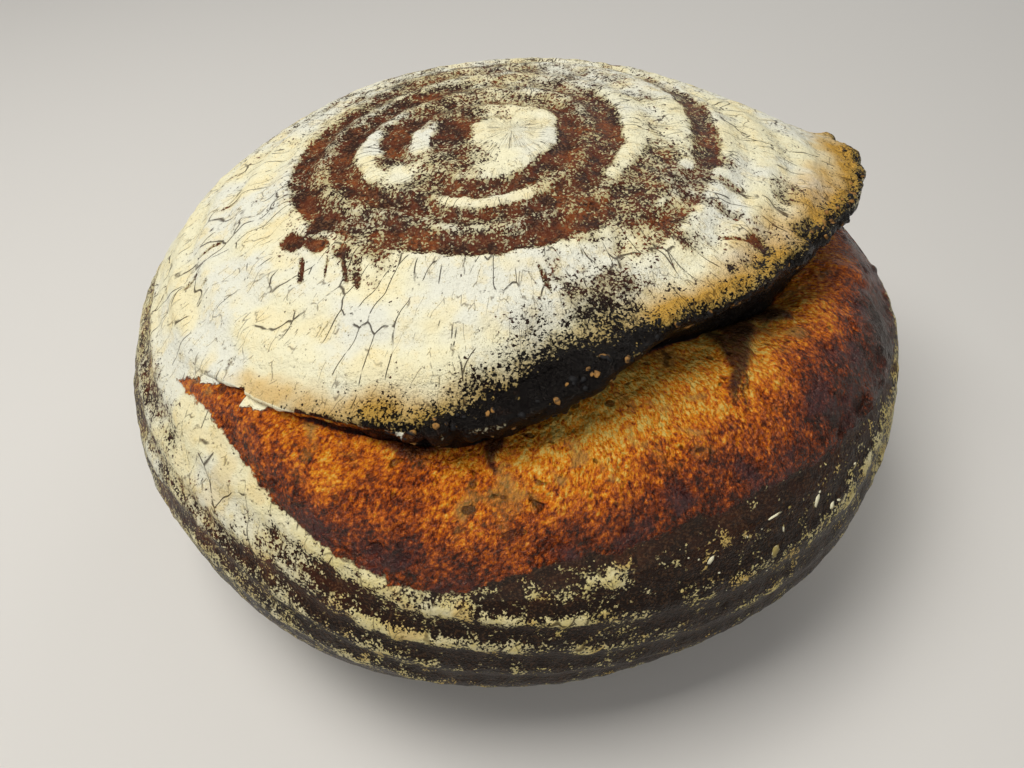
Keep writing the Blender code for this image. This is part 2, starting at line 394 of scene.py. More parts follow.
# %% Rings of the cap
cap_lines = [
    {0: 0, 180: 0},
    {0: 6, 90: 7, 150: 16, 165: 18.5, 180: 18.5, 200: 19, 215: 19, 240: 17, 270: 12, 320: 7},
    {
        0: 15, 60: 15, 120: 21, 150: 31, 165: 33.5, 180: 35, 200: 36, 215: 35, 240: 32, 255: 30.5,
        270: 28.5, 285: 25, 300: 22, 330: 18.5,
    },
    {
        0: 26, 30: 25, 60: 28, 90: 32, 120: 37, 150: 43, 165: 45.5, 180: 48, 195: 50.5, 210: 49,
        225: 44, 240: 41.5, 255: 40, 270: 38, 285: 36, 300: 33, 330: 28.5,
    },
    {
        0: 41, 60: 43, 120: 50, 150: 55, 165: 58, 180: 60, 195: 62, 210: 61, 225: 53.5, 240: 50.5,
        255: 49.5, 270: 48, 285: 46, 300: 44, 315: 41.5, 330: 40.5,
    },
    {
        0: 54, 15: 55.5, 30: 59.5, 60: 62, 120: 66, 150: 67, 180: 72, 215: 74, 250: 66, 300: 57,
        330: 54,
    },
    {0: 67, 60: 68, 120: 75, 180: 84, 215: 87, 250: 80, 300: 70, 330: 67},
    {0: 80, 60: 81, 120: 88, 180: 97, 215: 100, 250: 94, 300: 83, 330: 80},
    {0: 93, 60: 94, 120: 100, 180: 109, 215: 112, 250: 108, 300: 96, 330: 93},
]
ring_flour = [
    {0: 1.5, 180: 1.5},
    {
        0: 1.4, 60: 1.2, 120: 0.6, 150: 0.2, 165: -0.1, 190: -0.1, 205: 0.3, 225: 0.4, 240: 0.6,
        260: 1.2, 320: 1.5,
    },
    {
        0: -0.1, 30: 0.1, 60: 0.5, 110: 0.5, 150: 0.2, 165: -0.1, 185: -0.1, 198: 0.1, 210: 0.7,
        228: 0.4, 240: 0, 270: 0.15, 285: 0.1, 300: 0, 330: -0.1,
    },
    {
        0: 0, 40: 0.1, 60: 0.4, 100: 0.5, 130: 0.1, 150: 0, 180: -0.1, 210: 0.1, 230: 0.2,
        255: 0.05, 285: 0.1, 315: 0.1, 335: 0.1,
    },
    {
        0: 0.8, 60: 0.75, 110: 0.5, 145: 0.3, 160: 0.1, 180: 0, 205: 0.1, 225: 0.2, 240: 0,
        270: -0.05, 290: 0, 305: 0.12, 320: 0.2, 345: 0.3,
    },
    {
        0: 0.2, 15: 0.05, 35: 0.35, 60: 0.8, 110: 0.7, 150: 0.75, 180: 1.1, 205: 1.1, 213: 0.9,
        225: 1.3, 270: 1.3, 295: 0.95, 312: 0.45, 330: 0.4, 345: 0.25,
    },
    {0: 1.1, 60: 0.8, 100: 0.6, 150: 0.7, 180: 1.2, 220: 1.4, 270: 1.3, 300: 1, 330: 0.95},
    {0: 1.1, 60: 0.8, 100: 0.65, 150: 0.8, 180: 1.2, 220: 1.4, 270: 1.3, 330: 1},
    {0: 1.1, 60: 0.8, 100: 0.6, 150: 0.7, 180: 1.2, 220: 1.4, 270: 1.3, 330: 1},
]
hollow_flour = [
    {0: 1.5, 120: 1.2, 180: 1.3, 225: 1.3, 320: 1.5},
    {
        0: 1.3, 60: 1, 120: 0.6, 150: 0.3, 170: 0.6, 185: 1.2, 200: 1, 208: 0.5, 235: 0.6, 250: 0.9,
        275: 1.1, 300: 1.2, 330: 1.4,
    },
    {
        0: 0.4, 60: 0.7, 120: 0.5, 150: 0.5, 170: 0.8, 185: 1.3, 203: 1.1, 215: 0.8, 232: 0.4, 245: 1.2,
        272: 1.3, 288: 0.5, 310: 0.45, 340: 0.3,
    },
    {
        0: 1.3, 20: 1.2, 50: 0.7, 90: 0.6, 130: 0.5, 165: 0.5, 205: 0.45, 220: 0.5, 240: 0.55,
        270: 0.35, 295: 0.4, 312: 0.55, 330: 0.95, 345: 1.3,
    },
    {
        0: 0.95, 30: 1.2, 60: 0.9, 100: 0.5, 140: 0.6, 165: 0.7, 190: 1, 207: 0.9, 218: 0.7, 232: 0.7,
        245: 1.3, 275: 1.3, 290: 0.85, 310: 0.35, 330: 0.32, 345: 0.4,
    },
    {0: 1, 60: 0.9, 100: 0.8, 150: 0.9, 180: 1.3, 220: 1.3, 270: 1.3, 300: 1, 330: 1},
    {0: 1.3, 60: 0.9, 100: 0.8, 150: 0.9, 180: 1.3, 220: 1.5, 270: 1.4, 330: 1.2},
    {0: 1.3, 60: 0.9, 100: 0.8, 150: 0.9, 180: 1.3, 220: 1.5, 270: 1.4, 330: 1.2},
    {0: 1.3, 60: 0.9, 100: 0.9, 150: 1, 180: 1.3, 220: 1.5, 270: 1.4, 330: 1.2},
]
BARE_GRAINS = 0.06  # even the barest ring keeps some grains


def ring_number(lines, way):
    """Whole on each line and even between them, from lines of the way down at each azimuth."""
    places = [around(line)(turns) for line in lines]
    return sum(np.clip((way - here) / (after - here), 0, 1) for here, after in zip(places, places[1:]))


def flour_along(number, on_rings, in_hollows):
    """Flour cover for a ring number: the ring's own on a whole number, the hollow's halfway."""
    nearest = np.clip(np.rint(number).astype(int), 0, len(on_rings) - 1)
    hollow = np.clip(np.floor(number).astype(int), 0, len(in_hollows) - 1)
    on = np.array([around(ring)(turns) for ring in on_rings])[nearest, np.arange(COLUMNS)]
    between = np.array([around(ring)(turns) for ring in in_hollows])[hollow, np.arange(COLUMNS)]
    return BARE_GRAINS + on + (between - on) * smooth(0.20, 0.42, np.abs(number - nearest))


wander = 1.1 * lumps(0.022, 3.1) + 0.9 * lumps(0.0065, 5.2) + 0.8 * lumps(0.0032, 2.4)
cap_number = ring_number(cap_lines, down + wander)
print("the cap has", len(cap_lines) - 1, "rings round the crown")

# %% [markdown]
# ## The rings of the wall
#
# Low on the loaf the coils lie level, but the dough sagged at the front left, so there the rings
# climb from the table towards the tear. The same helpers serve, with other lines.

# %% Rings of the wall
wall_lines = [
    {
        0: 126, 90: 124, 150: 116, 180: 109, 205: 112, 225: 116, 243: 121, 252: 125, 260: 131.5,
        268: 136, 275: 137, 283: 137.5, 300: 138.5, 316: 136, 330: 130,
    },
    {
        0: 139, 90: 137, 150: 128, 180: 122, 200: 124, 210: 126, 225: 128, 243: 131.5, 252: 138,
        260: 141, 268: 143.3, 275: 145.3, 283: 148.6, 300: 151.5, 316: 151, 335: 145,
    },
    {
        0: 151, 90: 149, 150: 140, 180: 134, 200: 136, 210: 138, 222: 138, 232: 139.5, 241: 142,
        247: 145.5, 254: 149.5, 262: 152.5, 268: 154, 275: 156.5, 283: 160, 300: 164, 335: 158,
    },
    {
        0: 163, 90: 161, 150: 153, 180: 148, 205: 149, 215: 148, 225: 146, 232: 147.5, 238: 149.5,
        244: 152, 252: 157, 262: 163, 275: 167.5, 300: 174, 335: 170,
    },
    {
        0: 175, 90: 173, 150: 166, 180: 161, 210: 160, 232: 159, 250: 167, 270: 177, 300: 184, 335: 181,
    },
]
wall_ring_flour = [
    {0: 0.2, 60: 0.8, 90: 0.9, 200: 1.2, 245: 1.2, 258: 0.9, 266: 0.35, 275: 0.1, 315: 0},
    {
        0: 0.6, 40: 0.5, 90: 0.4, 150: 0.6, 180: 0.6, 203: 0.45, 214: 0.5, 224: 1.1, 236: 0.8, 243: 0.3,
        252: 0, 275: 0, 300: -0.05, 325: 0.1, 340: 0.6,
    },
    {
        0: 0.6, 40: 0.4, 90: 0.3, 150: 0.4, 180: 0.4, 203: 0.2, 213: 0.4, 222: 0.6, 230: 0.2, 240: 0.05,
        252: -0.1, 275: 0, 300: -0.1, 316: -0.1, 330: 0.3,
    },
    {
        0: 0.6, 40: 0.4, 90: 0.3, 150: 0.4, 180: 0.4, 205: 0.1, 216: 0.2, 225: 0.1, 240: 0, 252: -0.1,
        275: -0.1, 300: -0.1, 330: 0.1,
    },
    {0: 0.5, 40: 0.4, 90: 0.3, 180: 0.4, 215: 0.3, 252: 0, 275: 0, 300: 0, 330: 0.2},
]
wall_hollow_flour = [
    {
        0: 0.5, 40: 0.8, 90: 0.8, 180: 0.9, 208: 0.9, 220: 1.1, 245: 1.1, 256: 0.8, 268: 0.75,
        280: 0.85, 286: 0.4, 296: 0.3, 304: 0.45, 314: 0.5, 320: 0.6, 330: 0.55, 340: 0.5,
    },
    {
        0: 0.8, 40: 0.9, 90: 0.8, 150: 0.8, 180: 0.9, 203: 0.6, 214: 0.9, 228: 0.9, 240: 0.5, 252: 0.7,
        262: 1.05, 269: 0.85, 275: 0.6, 286: 0.5, 297: 0.2, 304: 0.3, 312: 0.1, 322: 0.3, 332: 0.7,
    },
    {
        0: 0.8, 40: 0.9, 90: 0.8, 150: 0.8, 180: 0.9, 203: 0.4, 214: 0.8, 226: 0.5, 236: 0.4, 248: 0.45,
        262: 0.45, 272: 0.15, 278: 0.4, 286: 0.2, 300: 0.3, 316: 0.1, 332: 0.4,
    },
    {
        0: 0.8, 40: 0.8, 90: 0.8, 180: 0.8, 205: 0.7, 222: 0.6, 240: 0.5, 262: 0.4, 280: 0.4, 300: 0.2,
        320: 0.1, 335: 0.4,
    },
    {0: 0.9, 90: 0.8, 180: 0.9, 220: 0.8, 250: 0.6, 300: 0.5},
]
wall_number = ring_number(wall_lines, down + wander)
print("the wall has", len(wall_lines) - 1, "rings above the heel")

# %% [markdown]
# ## The ear's burnt edge
#
# Near the lip the oven burnt the flour away. Black comes first as pepper, then in clumps, then
# whole. `to_lip` is the way back up from the lip. Two curves say how far the solid char reaches
# and how far the pepper. With that the cover is summed up: rings, patches, burn and the lip's face.
# `warmth` and the wall's grid after it say where the flour that is left has been toasted. The
# wall's grid also sets painted shade: it darkens the bare crust at the wall's front and right.

# %% Char, warmth and cover
char_reach = grid({
    0: 0.5, 20: 1, 45: 0, 90: -2, 210: -2, 228: -2, 245: -1, 256: 0, 262: 1.5, 267: 4.5, 272: 7,
    280: 6.5, 287: 4.5, 294: 2, 302: 0.6, 315: 0.4, 325: 0.2, 334: 0.3, 344: 0.5, 352: 0.5,
})
pepper_reach = grid({
    0: 14, 20: 8, 45: 4, 90: 3, 210: 3, 228: 4, 238: 9, 248: 17, 258: 23, 266: 27, 276: 27, 285: 25,
    295: 20, 310: 13, 325: 13, 338: 17, 350: 18,
})
burn_depth = grid({
    0: 0.55, 20: 0.45, 45: 0.3, 90: 0.1, 210: 0.1, 228: 0.25, 240: 0.5, 250: 0.75, 262: 1, 278: 1.1,
    288: 0.95, 300: 0.72, 315: 0.52, 328: 0.5, 340: 0.66, 350: 0.62,
})
gold = grid({
    0: 1.1, 15: 1, 30: 0.6, 60: 0.25, 120: 0.1, 180: 0.1, 225: 0.3, 245: 0.8, 262: 1, 285: 1,
    300: 1.1, 315: 1.1, 330: 1, 345: 1.1,
})
gold_reach = grid({
    0: 26, 30: 18, 60: 12, 180: 8, 225: 8, 250: 13, 270: 17, 285: 17, 315: 15, 345: 26,
})

to_lip = np.maximum(lip_down - down, 0) + 2.2 * lumps(0.012, 7.7) + 1.3 * lumps(0.005, 2.6)
char = 1 - smooth(char_reach + 1, char_reach + pepper_reach + 2, to_lip)
char = char * smooth(0.1, 0.6, burn_depth)
pepper = (1 - np.clip((to_lip - char_reach) / pepper_reach, 0, 1)) ** 1.3
char_under = grid({0: 1, 20: 1, 60: 0, 90: 0, 225: 0, 236: 0.1, 248: 0.6, 260: 1, 300: 1})
char = np.select([in_cap, in_lip], [char, char_under], 0.0)

on_cap = flour_along(cap_number, ring_flour, hollow_flour)
bare_wall = grid({
    0: 0, 90: 0, 180: 0.05, 225: 0, 245: 0.05, 258: 0.15, 272: 0.3, 300: 0.32, 320: 0.2, 340: 0,
})
on_wall = flour_along(wall_number, wall_ring_flour, wall_hollow_flour) - bare_wall
below = smooth(0, 6, down - 0.5 * (lip_down + tear_down))
cover = on_cap + (on_wall - on_cap) * below
clumping = grid({
    0: 0.6, 90: 0.2, 180: 0.1, 210: 0.2, 235: 0.5, 250: 0.7, 270: 0.9, 300: 0.9, 330: 0.7,
})
patches = 0.22 * lumps(0.016, 1.3) + 0.26 * lumps(0.0055, 9.4) + 0.30 * lumps(0.0029, 4.7)
cover = cover + patches * (1 - 0.7 * smooth(1.0, 1.6, cover)) * (1 + clumping * below)
burnt = burn_depth * (pepper * (0.9 + 0.5 * lumps(0.008, 6.1)) + 0.6 * smooth(0.80, 1.0, pepper))
cover = np.minimum(cover, 1.25) - burnt * gape * in_cap
face_flour = grid({
    0: 0.7, 20: 0.7, 60: 0.9, 225: 1.2, 245: 1.25, 260: 1.05, 266: 0.6, 272: -0.1, 288: -0.1, 297: 0.45,
    312: 0.5, 322: 0.2, 335: -0.1, 348: 0.3,
})
face_cover = face_flour - 0.10 * np.maximum(from_lip + folded, 0) + 0.35 * lumps(0.004, 3.9)
cover = cover + (face_cover - cover) * gape * (region_of == "face")

# The flour yellows low on the wall; this grid also sets painted shade, darkening the bare crust there.
straw = below * grid({0: 0.6, 90: 0.3, 180: 0.2, 218: 0.15, 240: 0.5, 262: 0.9, 330: 1})
warmth = gold * (1 - smooth(2, gold_reach, to_lip)) * gape * in_cap
print("burnt points:", int((char > 0.5).sum()))

# %% [markdown]
# ## Marks of this one loaf
#
# A few marks are singular: the patch at the left of the cap where the flour tore off, with
# streaks that run down from it, small bare spots, and flour that stayed on a ring or on the wall.
# Each is a soft blob, placed by azimuth and the way down in millimetres.


# %% Blobs of bare crust and of flour
RAGGED = 0.5
ragged = lumps(0.0045, 6.8)


def blob(azimuth, way, across, along, lean=0):
    """1 in the middle of an oval mark and 0 at its rim. across and along are its half sizes in mm."""
    turn = np.mod(degrees - azimuth + 180, 360) - 180
    sideways = np.radians(turn) * np.hypot(points[..., 0], points[..., 1]) / MM
    onward = down - way
    sideways = sideways - lean * onward
    return 1 - smooth(0.2, 1.05, np.hypot(sideways / across, onward / along) + RAGGED * ragged)


# azimuth, way, across, along, flour added or taken away, and lean where there is one
cap_marks = [
    (213.5, 61, 2.8, 8, -1.4), (212.6, 70.4, 5, 3.6, -1.6, -0.5), (218, 67.4, 5, 3.4, -1.5, -0.5),
    (220.5, 73, 1.6, 4.6, -1.3, 1.2), (224.5, 64.5, 3, 3, -0.5), (202.5, 62, 7, 3.6, -0.7),
    (225.2, 68.4, 0.8, 5.5, -1.1, 0.77), (228.5, 65.6, 1.1, 5.5, -1.2, 1.14),
    (235, 68.5, 1.4, 2.4, -0.9, 1), (231, 66, 7, 4.5, -0.55, 0.8), (239, 67, 3.5, 3, -0.5, 0.5),
    (236, 60, 6, 5, -0.45, 0.3), (196.5, 91, 1.2, 6, -1.2), (200, 101, 1.2, 6, -1, 0.1),
    (204, 95, 1.6, 2.2, -0.9), (186, 84, 0.8, 7, -0.8, 0.1), (174, 88, 1, 8, -0.9),
    (152, 92, 1.2, 10, -1, 0.1), (222, 100, 1, 2.4, -0.7), (250, 76, 2.4, 1, -0.9),
    (253, 97, 1.8, 1.2, -0.8), (278, 61, 0.7, 6, -0.8, 0.2), (289, 64, 12, 8, -0.42, 0.3),
    (281, 56, 3, 9, -0.45, 0.2), (333, 64, 4, 14, -0.5, 0.1), (343, 63, 3.5, 9, -0.45, 0.1),
    (351, 60, 4, 7, -0.35), (316, 60, 3.5, 10, -0.4), (330, 78, 3, 5.5, -0.9),
    (341, 88, 6, 6, -0.55, 0.2), (350, 78, 8, 10, -0.45, 0.1), (326.5, 73, 1.2, 5, -0.9, 0.6),
    (318, 76, 3, 2.5, -0.5), (345, 49.5, 3.4, 2.6, 1.2), (322, 50.5, 3.2, 1.6, 0.6),
    (265, 100, 3, 1.2, 0.4), (187, 27, 5, 2.8, 1.2, -0.4), (190, 40, 5, 3, 1.3, -0.4),
    (211, 37, 6, 4, 0.8), (205, 87, 8, 10, 0.5), (222, 90, 8, 10, 0.5), (250, 80, 14, 8, 0.5),
]
wall_marks = [
    (289.5, 143, 3.6, 11, -1, 0.1), (265.8, 138.6, 1.7, 2, -1.4), (272.2, 133.2, 3, 2.6, 0.75, 0.5),
    (276, 133.6, 3.6, 4, 0.8), (282.3, 132.4, 8, 3.6, 0.85), (286.5, 138.5, 3, 4, 0.35, 0.6),
    (289.8, 132.5, 4.5, 3.6, 0.35), (294.6, 135.3, 2.6, 4.2, 0.85, -0.4), (297.5, 132, 2.4, 2.2, 0.7),
    (301.4, 132.2, 4.2, 2.6, 0.75), (262, 136.6, 5, 4.5, 0.3), (294.5, 146.5, 4.5, 3, 0.4),
    (327.5, 134, 3, 6, 0.4), (324, 140, 3, 6, 0.4, -0.5), (319, 144.5, 3.6, 4.5, 0.4, -0.6),
    (304, 158, 6, 2.4, 0.45),
]
for marks, whereabouts in ((cap_marks, in_cap), (wall_marks, below)):
    for azimuth, way, across, along, flour_added, *lean in marks:
        cover = cover + flour_added * blob(azimuth, way, across, along, *lean) * whereabouts
cover = np.clip(cover, -0.6, 1.6)
print(len(cap_marks) + len(wall_marks), "marks placed")

# %% [markdown]
# ## The bake of the bloom
#
# Bare crumb browns by how much heat reaches it. Under the ear it stays pale gold, lower down it
# goes through orange to mahogany, and at the right it is darkest. One number from 0 to 1 says how
# far the bake went, and a ramp turns that into colour later.

# %% Bake, webs and the ear's painted shadow
bake_top = grid({
    212: 0.44, 222: 0.4, 240: 0.42, 255: 0.44, 265: 0.36, 275: 0.14, 288: 0.04, 300: 0.02, 308: 0.12,
    318: 0.02, 330: 0.12, 345: 0.22, 0: 0.3, 40: 0.4, 90: 0.5,
})
bake_middle = grid({
    212: 0.42, 228: 0.44, 245: 0.5, 258: 0.42, 270: 0.33, 285: 0.3, 300: 0.28, 312: 0.34, 322: 0.54,
    335: 0.58, 348: 0.54, 0: 0.5, 40: 0.5, 90: 0.5,
})
bake_low = grid({
    212: 0.46, 228: 0.58, 245: 0.7, 258: 0.74, 270: 0.72, 290: 0.72, 312: 0.82, 325: 0.93, 345: 0.95,
    0: 0.8, 40: 0.7, 90: 0.6,
})
share_down = np.select([in_bloom, in_lip], [share_of, 0.0], 1.0)
bake = bake_top + (bake_middle - bake_top) * smooth(0.05, 0.5, share_down)
bake = bake + (bake_low - bake_middle) * smooth(0.40, 0.84, share_down)
bake = bake + 0.10 * lumps(0.020, 3.7) + 0.10 * lumps(0.009, 4.9)
bake = np.where(region_of == "under", 0.85, bake)


def dark_band(azimuth, width, end, lean=0):
    """A dark band that hangs from the lip and runs out down the bloom: torn web, and in one place the ear's
    painted shadow.
    """
    centre = azimuth + lean * share_of
    turn = np.mod(degrees - centre + 180, 360) - 180
    taper = np.clip(1 - share_of / end, 0, 1)
    wavering = turn + 1.8 * lumps(0.005, azimuth)
    core = 1 - smooth(0.4, 1.0, np.abs(wavering) / (width * taper + 0.15))
    return core * in_bloom * (taper > 0)


# The widest band, at 334 degrees, is the ear's shadow along the top of the bloom, painted dark; the others
# are torn webs of crust.
dark_bands = [
    dark_band(326, 9, 0.46, lean=-45), dark_band(318.2, 1.8, 0.54, lean=-20), dark_band(334, 12, 0.24, lean=-10),
    dark_band(267.3, 3.4, 0.24), 0.9 * dark_band(255, 9, 0.12),
]
web = np.max(dark_bands, axis=0)
print("the bloom bakes up to", round(float(bake[in_bloom].max()), 2))

# %% [markdown]
# ## Relief
#
# The solid carries the rings, the swells and the crags. This skin repeats them and goes on finer:
# flour stands up as a thin cake, the bloom is blistered and pitted, and the ear is cracked into
# knobs. It could be a Displace modifier with textures, but those would also move what must stay
# still, such as the base. A sum of grids keeps control of each share.

# %% Sum of the relief
RING_DEPTH = 0.5
SWELL_SIZE, SWELL_HEIGHT = 0.055, 1.0
LUMP_SIZE, LUMP_HEIGHT = 0.017, 1.3
CRAG_SIZE, CRAG_HEIGHT = 0.009, 1.6
CRAG_REACH = 0.10
HEEL_FADE = 0.008
FLOUR_CAKE = 0.35
KNOB_SIZE, KNOB_HEIGHT, KNOB_REACH = 0.0065, 1.5, 7.0
knobbly = grid({
    0: 1, 12: 1, 30: 0.4, 60: 0.1, 225: 0, 245: 0.4, 255: 0.9, 266: 1, 280: 0.7, 300: 0.5,
    320: 0.5, 338: 0.7, 350: 1,
})

cap_wave, wall_wave = np.cos(2 * np.pi * cap_number), np.cos(2 * np.pi * wall_number)
rings = -RING_DEPTH * (cap_wave + (wall_wave - cap_wave) * below) * smooth(0.5, 1.5, cap_number)
swells = SWELL_HEIGHT * lumps(SWELL_SIZE, 1.7)
crags = CRAG_HEIGHT * lumps(CRAG_SIZE, 4.3) + 0.8 * lumps(0.0042, 2.9) + 0.4 * lumps(0.0021, 8.8)
near_lip = gape * (smooth(1 - CRAG_REACH, 1, share_of) * in_cap + 0.75 * in_lip)
from_rim = np.where(in_cap, lip_down - down, 0.6 * (run - run[last_row["cap"]]))
at_rim = gape * (1 - smooth(2.0, KNOB_REACH, from_rim)) * (in_cap | in_lip)
knobs = KNOB_HEIGHT * knobbly * at_rim * smooth(0.02, 0.42, np.abs(lumps(KNOB_SIZE, 5.9)))
on_bloom = gape * in_bloom * smooth(0, 1.2, torn)
bumps = LUMP_HEIGHT * lumps(LUMP_SIZE, 8.1) + 0.45 * lumps(0.0062, 6.6) + 0.25 * lumps(0.0027, 3.3)
blisters = 0.7 * smooth(0.22, 0.55, lumps(0.0075, 5.5)) - 0.6 * smooth(0.30, 0.6, lumps(0.0045, 7.2))
cake = FLOUR_CAKE * smooth(0.2, 0.9, cover) * (1 - inside_slash)
grit = 0.14 * lumps(0.0018, 1.9) + 0.26 * lumps(0.0036, 4.4)
relief = swells + (1 - inside_slash) * (rings + cake + grit) + near_lip * crags + knobs
relief = relief + on_bloom * (bumps + blisters + 0.9 * web)
relief = relief * smooth(0, HEEL_FADE, points[..., 2])
relief[region_of == "base"] = 0
print("relief from", round(float(relief.min()), 1), "to", round(float(relief.max()), 1), "mm")


# %% Move the skin
def set_points(places):
    """Put the skin's points where the grid says."""
    skin.vertices.foreach_set("co", places[row, column].astype(np.float32).ravel())
    skin.update()


def read_normals():
    """The normals of the skin's points, as a grid."""
    flat = np.empty((len(skin.vertices), 3), dtype=np.float32)
    skin.vertex_normals.foreach_get("vector", flat.ravel())
    leaning = np.zeros(points.shape)
    leaning[row, column] = flat
    for pole in (0, len(steps)):
        leaning[pole] = flat[row == pole]
    return leaning


set_points(points)
points = points + read_normals() * (relief * MM)[..., None]
points[..., 2] = np.maximum(points[..., 2], 0)
set_points(points)
normals = read_normals()
print("the skin now reaches", [round(1000 * float(side)) for side in np.ptp(points, axis=(0, 1))], "mm")

# %% [markdown]
# ## Three pieces of one skin
#
# Cap, bloom and wall are cut apart at the crease and at the tear, so that each has its own slot
# and its own share of detail when the model is baked. They keep the whole skin's normals, and so
# the joints don't show.

# %% Attributes and pieces
FLOW_RADIUS = 0.1
flow = np.stack([FLOW_RADIUS * np.cos(theta), FLOW_RADIUS * np.sin(theta), run * MM], axis=-1)
row_number = np.broadcast_to(np.arange(len(steps) + 1.0)[:, None], down.shape)
grids = {
    "flour": cover, "torn": torn, "char": char, "warmth": warmth, "straw": straw, "bake": bake,
    "web": web, "flow": flow, "lean": normals, "row": row_number,
}
for name, values in grids.items():
    kind, field = ("FLOAT", "value") if values.ndim == 2 else ("FLOAT_VECTOR", "vector")
    layer = skin.attributes.new(name, kind, "POINT")
    layer.data.foreach_set(field, values[row, column].astype(np.float32).ravel())


def add(name, data):
    """A new object in the scene."""
    made = bpy.data.objects.new(name, data)
    bpy.context.scene.collection.objects.link(made)
    return made


def cut_piece(name, first, last):
    """A copy of the skin's rows from first to last, with the whole skin's normals."""
    whole = bmesh.new()
    whole.from_mesh(skin)
    layer = whole.verts.layers.float["row"]
    others = [
        face for face in whole.faces
        if min(v[layer] for v in face.verts) < first or max(v[layer] for v in face.verts) > last
    ]
    bmesh.ops.delete(whole, geom=others, context="FACES")
    mesh = to_mesh(name, whole)
    leaning = np.empty((len(mesh.vertices), 3), dtype=np.float32)
    mesh.attributes["lean"].data.foreach_get("vector", leaning.ravel())
    mesh.attributes.remove(mesh.attributes["lean"])
    mesh.attributes.remove(mesh.attributes["row"])
    mesh.shade_smooth()
    mesh.normals_split_custom_set_from_vertices(leaning)
    piece = add(name, mesh)
    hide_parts(NODE)
    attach(piece, "root")
    print(name, "has", len(mesh.polygons), "faces")
    return piece


cap = cut_piece("floured_cap", 0, last_row["under"])
bloom = cut_piece("torn_bloom", last_row["under"], last_row["bloom"])
wall = cut_piece("floured_wall", last_row["bloom"], len(steps))

# %% [markdown]
# ## Crumbs and flakes
#
# Burst bits of crust cling to the ear's rim, and a few thick flakes of flour have stayed on the
# wall at the right, among fine specks. The largest flakes have their own places; the rest is strewn
# by a seeded draw. Each kind is one mesh of many icospheres at true size, sunk a little into the
# skin, squashed along its normal and dented by noise.


# %% Lumps on the skin
def spots_near(azimuths, ways, count, region, sizes, seed):
    """Random places on the skin, each with a lump's half sides in mm and its turn."""
    chance = np.random.default_rng(seed)
    turn = np.mod(degrees - azimuths[0], 360) <= np.mod(azimuths[1] - azimuths[0], 360)
    places = np.argwhere(turn & (ways >= 0) & (ways <= 1) & (region_of == region))
    spots = []
    for i, j in places[chance.choice(len(places), count, replace=False)]:
        radius, stretch = chance.uniform(*sizes), chance.uniform(0.75, 1.3)
        spots.append((i, j, radius * stretch, radius / stretch, chance.uniform(0, 6.3)))
    return spots


def scatter(name, spots, flatness, sink, fineness):
    """One mesh of uneven lumps, each with its place on the grid, two half sides in mm and a turn."""
    pile = bmesh.new()
    for i, j, half_long, half_wide, turn in spots:
        point, normal = Vector(points[i, j]), Vector(normals[i, j])
        half_high = flatness * min(half_long, half_wide)
        lump = bmesh.ops.create_icosphere(pile, subdivisions=fineness, radius=1)["verts"]
        turned = normal.to_track_quat("Z", "Y").to_matrix() @ Matrix.Rotation(turn, 3, "Z")
        for vertex in lump:
            dent = (1 + 0.45 * noise.noise(vertex.co * 1.3 + 40 * point / 0.01)) * MM
            x, y, z = vertex.co
            sized = Vector((x * half_long, y * half_wide, z * half_high)) * dent
            vertex.co = point + turned @ sized - normal * half_high * sink * MM
    mesh = to_mesh(name, pile)
    mesh.shade_smooth()
    piece = add(name, mesh)
    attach(piece, "root")
    print(name, "has", len(spots), "lumps")
    return piece


above_lip = (lip_down - down) / 5.0
rim_spots = spots_near((338, 14), above_lip, 34, "cap", (0.4, 1.0), 11)
rim_spots += spots_near((252, 298), above_lip / 0.7, 26, "cap", (0.4, 1.0), 12)
rim_spots += spots_near((252, 16), share_of, 60, "face", (0.4, 1.0), 13)
crumbs = scatter("rim_crumbs", rim_spots, 0.8, 0.4, 2)
FLAKES = [
    (312.6, 134.8, 2.5, 0.9, 1), (313.4, 132.6, 0.6, 0.4, 0), (315, 139, 1.2, 0.8, 0.8),
    (316.6, 139.2, 0.9, 0.4, -0.5), (319, 140.1, 0.5, 0.4, 0), (319.8, 138, 0.7, 0.4, 1),
    (321.3, 135.2, 1.1, 0.4, -0.5), (304.5, 141.4, 1.8, 1.2, 0.9), (305.3, 131.2, 2.8, 0.4, 0),
    (307.6, 131, 0.6, 0.4, 0), (306.2, 135.9, 1.2, 0.4, 1.4), (295.2, 135, 1.4, 0.8, 0.9),
]
flake_spots = spots_near((292, 326), np.abs(wall_number - 0.6) / 0.8, 30, "wall", (0.15, 0.35), 14)
for azimuth, way, half_long, half_wide, turn in FLAKES:
    apart = np.abs(np.mod(degrees - azimuth + 180, 360) - 180) + np.abs(down - way)
    flake_spots.append((*np.unravel_index(np.argmin(apart), apart.shape), half_long, half_wide, turn))
flakes = scatter("flour_flakes", flake_spots, 0.5, 0.2, 1)

# %% [markdown]
# ## Writing finishes as sums
#
# A finish is a tree of nodes, and hundreds of links hide what it does. One small class wraps a
# socket, so that `1 - mask` adds the node and reads like the sum that it is. Any node that isn't
# arithmetic comes from its one method `node`.


